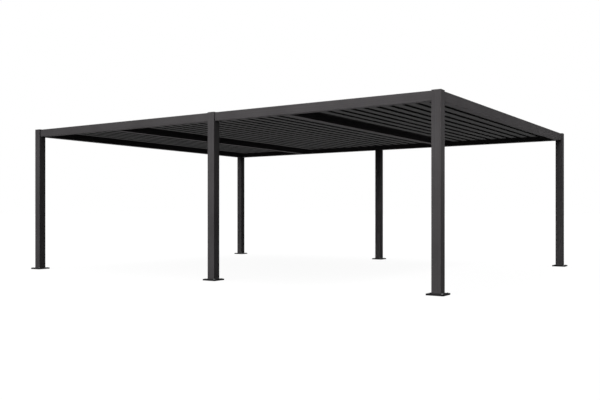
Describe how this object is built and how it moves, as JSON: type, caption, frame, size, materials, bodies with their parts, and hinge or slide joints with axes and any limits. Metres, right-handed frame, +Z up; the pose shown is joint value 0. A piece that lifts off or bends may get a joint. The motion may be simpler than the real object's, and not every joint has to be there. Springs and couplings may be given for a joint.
{
  "type": "louvered pergola",
  "caption": "Free-standing rectangular pergola: square posts on bolted plates, box beams and a flat roof of turning louvers in bays.",
  "frame": {"origin": "on the ground, below the middle of the roof", "axes": "+X along the long side, +Y towards the back, +Z up"},
  "size_m": [7.54, 5.8, 2.4],
  "materials": {
    "post_coat": "charcoal powder coat, satin",
    "beam_coat": "charcoal powder coat, satin",
    "louver_coat": "charcoal powder coat, satin",
    "plate_coat": "charcoal powder coat, satin"
  },
  "bodies": {
    "frame": {"post_front_left": "post_coat", "post_front_middle": "post_coat", "post_front_right": "post_coat", "post_back_left": "post_coat", "post_back_middle": "post_coat", "post_back_right": "post_coat", "base_plates": "plate_coat", "post_caps": "post_coat", "front_beam_left": "beam_coat", "front_beam_right": "beam_coat", "back_beam_left": "beam_coat", "back_beam_right": "beam_coat", "left_beam": "beam_coat", "right_beam": "beam_coat", "cross_beam_left": "beam_coat", "cross_beam_right": "beam_coat", "edge_angles_left": "louver_coat", "edge_angles_middle": "louver_coat", "edge_angles_right": "louver_coat"},
    "louver_left_01": {"louver_left_01": "louver_coat"},
    "louver_left_02": {"louver_left_02": "louver_coat"},
    "louver_left_03": {"louver_left_03": "louver_coat"},
    "louver_left_04": {"louver_left_04": "louver_coat"},
    "louver_left_05": {"louver_left_05": "louver_coat"},
    "louver_left_06": {"louver_left_06": "louver_coat"},
    "louver_left_07": {"louver_left_07": "louver_coat"},
    "louver_left_08": {"louver_left_08": "louver_coat"},
    "louver_middle_01": {"louver_middle_01": "louver_coat"},
    "louver_middle_02": {"louver_middle_02": "louver_coat"},
    "louver_middle_03": {"louver_middle_03": "louver_coat"},
    "louver_middle_04": {"louver_middle_04": "louver_coat"},
    "louver_middle_05": {"louver_middle_05": "louver_coat"},
    "louver_middle_06": {"louver_middle_06": "louver_coat"},
    "louver_middle_07": {"louver_middle_07": "louver_coat"},
    "louver_middle_08": {"louver_middle_08": "louver_coat"},
    "louver_middle_09": {"louver_middle_09": "louver_coat"},
    "louver_middle_10": {"louver_middle_10": "louver_coat"},
    "louver_middle_11": {"louver_middle_11": "louver_coat"},
    "louver_middle_12": {"louver_middle_12": "louver_coat"},
    "louver_middle_13": {"louver_middle_13": "louver_coat"},
    "louver_middle_14": {"louver_middle_14": "louver_coat"},
    "louver_middle_15": {"louver_middle_15": "louver_coat"},
    "louver_middle_16": {"louver_middle_16": "louver_coat"},
    "louver_right_01": {"louver_right_01": "louver_coat"},
    "louver_right_02": {"louver_right_02": "louver_coat"},
    "louver_right_03": {"louver_right_03": "louver_coat"},
    "louver_right_04": {"louver_right_04": "louver_coat"},
    "louver_right_05": {"louver_right_05": "louver_coat"},
    "louver_right_06": {"louver_right_06": "louver_coat"},
    "louver_right_07": {"louver_right_07": "louver_coat"},
    "louver_right_08": {"louver_right_08": "louver_coat"},
    "louver_right_09": {"louver_right_09": "louver_coat"},
    "louver_right_10": {"louver_right_10": "louver_coat"}
  },
  "joints": [
    {"name": "louver_left_01_turn", "type": "hinge", "parent": "frame", "child": "louver_left_01", "pos_m": [-3.41081, 0, 2.379], "axis": [0, -1, 0], "range_deg": [0, 90]},
    {"name": "louver_left_02_turn", "type": "hinge", "parent": "frame", "child": "louver_left_02", "pos_m": [-3.22162, 0, 2.379], "axis": [0, -1, 0], "range_deg": [0, 90]},
    {"name": "louver_left_03_turn", "type": "hinge", "parent": "frame", "child": "louver_left_03", "pos_m": [-3.03243, 0, 2.379], "axis": [0, -1, 0], "range_deg": [0, 90]},
    {"name": "louver_left_04_turn", "type": "hinge", "parent": "frame", "child": "louver_left_04", "pos_m": [-2.84324, 0, 2.379], "axis": [0, -1, 0], "range_deg": [0, 90]},
    {"name": "louver_left_05_turn", "type": "hinge", "parent": "frame", "child": "louver_left_05", "pos_m": [-2.65405, 0, 2.379], "axis": [0, -1, 0], "range_deg": [0, 90]},
    {"name": "louver_left_06_turn", "type": "hinge", "parent": "frame", "child": "louver_left_06", "pos_m": [-2.46486, 0, 2.379], "axis": [0, -1, 0], "range_deg": [0, 90]},
    {"name": "louver_left_07_turn", "type": "hinge", "parent": "frame", "child": "louver_left_07", "pos_m": [-2.27568, 0, 2.379], "axis": [0, -1, 0], "range_deg": [0, 90]},
    {"name": "louver_left_08_turn", "type": "hinge", "parent": "frame", "child": "louver_left_08", "pos_m": [-2.08649, 0, 2.379], "axis": [0, -1, 0], "range_deg": [0, 90]},
    {"name": "louver_middle_01_turn", "type": "hinge", "parent": "frame", "child": "louver_middle_01", "pos_m": [-1.60811, 0, 2.379], "axis": [0, -1, 0], "range_deg": [0, 90]},
    {"name": "louver_middle_02_turn", "type": "hinge", "parent": "frame", "child": "louver_middle_02", "pos_m": [-1.41892, 0, 2.379], "axis": [0, -1, 0], "range_deg": [0, 90]},
    {"name": "louver_middle_03_turn", "type": "hinge", "parent": "frame", "child": "louver_middle_03", "pos_m": [-1.22973, 0, 2.379], "axis": [0, -1, 0], "range_deg": [0, 90]},
    {"name": "louver_middle_04_turn", "type": "hinge", "parent": "frame", "child": "louver_middle_04", "pos_m": [-1.04054, 0, 2.379], "axis": [0, -1, 0], "range_deg": [0, 90]},
    {"name": "louver_middle_05_turn", "type": "hinge", "parent": "frame", "child": "louver_middle_05", "pos_m": [-0.85135, 0, 2.379], "axis": [0, -1, 0], "range_deg": [0, 90]},
    {"name": "louver_middle_06_turn", "type": "hinge", "parent": "frame", "child": "louver_middle_06", "pos_m": [-0.66216, 0, 2.379], "axis": [0, -1, 0], "range_deg": [0, 90]},
    {"name": "louver_middle_07_turn", "type": "hinge", "parent": "frame", "child": "louver_middle_07", "pos_m": [-0.47297, 0, 2.379], "axis": [0, -1, 0], "range_deg": [0, 90]},
    {"name": "louver_middle_08_turn", "type": "hinge", "parent": "frame", "child": "louver_middle_08", "pos_m": [-0.28378, 0, 2.379], "axis": [0, -1, 0], "range_deg": [0, 90]},
    {"name": "louver_middle_09_turn", "type": "hinge", "parent": "frame", "child": "louver_middle_09", "pos_m": [-0.09459, 0, 2.379], "axis": [0, -1, 0], "range_deg": [0, 90]},
    {"name": "louver_middle_10_turn", "type": "hinge", "parent": "frame", "child": "louver_middle_10", "pos_m": [0.09459, 0, 2.379], "axis": [0, -1, 0], "range_deg": [0, 90]},
    {"name": "louver_middle_11_turn", "type": "hinge", "parent": "frame", "child": "louver_middle_11", "pos_m": [0.28378, 0, 2.379], "axis": [0, -1, 0], "range_deg": [0, 90]},
    {"name": "louver_middle_12_turn", "type": "hinge", "parent": "frame", "child": "louver_middle_12", "pos_m": [0.47297, 0, 2.379], "axis": [0, -1, 0], "range_deg": [0, 90]},
    {"name": "louver_middle_13_turn", "type": "hinge", "parent": "frame", "child": "louver_middle_13", "pos_m": [0.66216, 0, 2.379], "axis": [0, -1, 0], "range_deg": [0, 90]},
    {"name": "louver_middle_14_turn", "type": "hinge", "parent": "frame", "child": "louver_middle_14", "pos_m": [0.85135, 0, 2.379], "axis": [0, -1, 0], "range_deg": [0, 90]},
    {"name": "louver_middle_15_turn", "type": "hinge", "parent": "frame", "child": "louver_middle_15", "pos_m": [1.04054, 0, 2.379], "axis": [0, -1, 0], "range_deg": [0, 90]},
    {"name": "louver_middle_16_turn", "type": "hinge", "parent": "frame", "child": "louver_middle_16", "pos_m": [1.22973, 0, 2.379], "axis": [0, -1, 0], "range_deg": [0, 90]},
    {"name": "louver_right_01_turn", "type": "hinge", "parent": "frame", "child": "louver_right_01", "pos_m": [1.70811, 0, 2.379], "axis": [0, -1, 0], "range_deg": [0, 90]},
    {"name": "louver_right_02_turn", "type": "hinge", "parent": "frame", "child": "louver_right_02", "pos_m": [1.8973, 0, 2.379], "axis": [0, -1, 0], "range_deg": [0, 90]},
    {"name": "louver_right_03_turn", "type": "hinge", "parent": "frame", "child": "louver_right_03", "pos_m": [2.08649, 0, 2.379], "axis": [0, -1, 0], "range_deg": [0, 90]},
    {"name": "louver_right_04_turn", "type": "hinge", "parent": "frame", "child": "louver_right_04", "pos_m": [2.27568, 0, 2.379], "axis": [0, -1, 0], "range_deg": [0, 90]},
    {"name": "louver_right_05_turn", "type": "hinge", "parent": "frame", "child": "louver_right_05", "pos_m": [2.46486, 0, 2.379], "axis": [0, -1, 0], "range_deg": [0, 90]},
    {"name": "louver_right_06_turn", "type": "hinge", "parent": "frame", "child": "louver_right_06", "pos_m": [2.65405, 0, 2.379], "axis": [0, -1, 0], "range_deg": [0, 90]},
    {"name": "louver_right_07_turn", "type": "hinge", "parent": "frame", "child": "louver_right_07", "pos_m": [2.84324, 0, 2.379], "axis": [0, -1, 0], "range_deg": [0, 90]},
    {"name": "louver_right_08_turn", "type": "hinge", "parent": "frame", "child": "louver_right_08", "pos_m": [3.03243, 0, 2.379], "axis": [0, -1, 0], "range_deg": [0, 90]},
    {"name": "louver_right_09_turn", "type": "hinge", "parent": "frame", "child": "louver_right_09", "pos_m": [3.22162, 0, 2.379], "axis": [0, -1, 0], "range_deg": [0, 90]},
    {"name": "louver_right_10_turn", "type": "hinge", "parent": "frame", "child": "louver_right_10", "pos_m": [3.41081, 0, 2.379], "axis": [0, -1, 0], "range_deg": [0, 90]}
  ],
  "couplings": [
    {"joint": "louver_left_02_turn", "follows": "louver_left_01_turn", "ratio": 1},
    {"joint": "louver_left_03_turn", "follows": "louver_left_01_turn", "ratio": 1},
    {"joint": "louver_left_04_turn", "follows": "louver_left_01_turn", "ratio": 1},
    {"joint": "louver_left_05_turn", "follows": "louver_left_01_turn", "ratio": 1},
    {"joint": "louver_left_06_turn", "follows": "louver_left_01_turn", "ratio": 1},
    {"joint": "louver_left_07_turn", "follows": "louver_left_01_turn", "ratio": 1},
    {"joint": "louver_left_08_turn", "follows": "louver_left_01_turn", "ratio": 1},
    {"joint": "louver_middle_02_turn", "follows": "louver_middle_01_turn", "ratio": 1},
    {"joint": "louver_middle_03_turn", "follows": "louver_middle_01_turn", "ratio": 1},
    {"joint": "louver_middle_04_turn", "follows": "louver_middle_01_turn", "ratio": 1},
    {"joint": "louver_middle_05_turn", "follows": "louver_middle_01_turn", "ratio": 1},
    {"joint": "louver_middle_06_turn", "follows": "louver_middle_01_turn", "ratio": 1},
    {"joint": "louver_middle_07_turn", "follows": "louver_middle_01_turn", "ratio": 1},
    {"joint": "louver_middle_08_turn", "follows": "louver_middle_01_turn", "ratio": 1},
    {"joint": "louver_middle_09_turn", "follows": "louver_middle_01_turn", "ratio": 1},
    {"joint": "louver_middle_10_turn", "follows": "louver_middle_01_turn", "ratio": 1},
    {"joint": "louver_middle_11_turn", "follows": "louver_middle_01_turn", "ratio": 1},
    {"joint": "louver_middle_12_turn", "follows": "louver_middle_01_turn", "ratio": 1},
    {"joint": "louver_middle_13_turn", "follows": "louver_middle_01_turn", "ratio": 1},
    {"joint": "louver_middle_14_turn", "follows": "louver_middle_01_turn", "ratio": 1},
    {"joint": "louver_middle_15_turn", "follows": "louver_middle_01_turn", "ratio": 1},
    {"joint": "louver_middle_16_turn", "follows": "louver_middle_01_turn", "ratio": 1},
    {"joint": "louver_right_02_turn", "follows": "louver_right_01_turn", "ratio": 1},
    {"joint": "louver_right_03_turn", "follows": "louver_right_01_turn", "ratio": 1},
    {"joint": "louver_right_04_turn", "follows": "louver_right_01_turn", "ratio": 1},
    {"joint": "louver_right_05_turn", "follows": "louver_right_01_turn", "ratio": 1},
    {"joint": "louver_right_06_turn", "follows": "louver_right_01_turn", "ratio": 1},
    {"joint": "louver_right_07_turn", "follows": "louver_right_01_turn", "ratio": 1},
    {"joint": "louver_right_08_turn", "follows": "louver_right_01_turn", "ratio": 1},
    {"joint": "louver_right_09_turn", "follows": "louver_right_01_turn", "ratio": 1},
    {"joint": "louver_right_10_turn", "follows": "louver_right_01_turn", "ratio": 1}
  ]
}
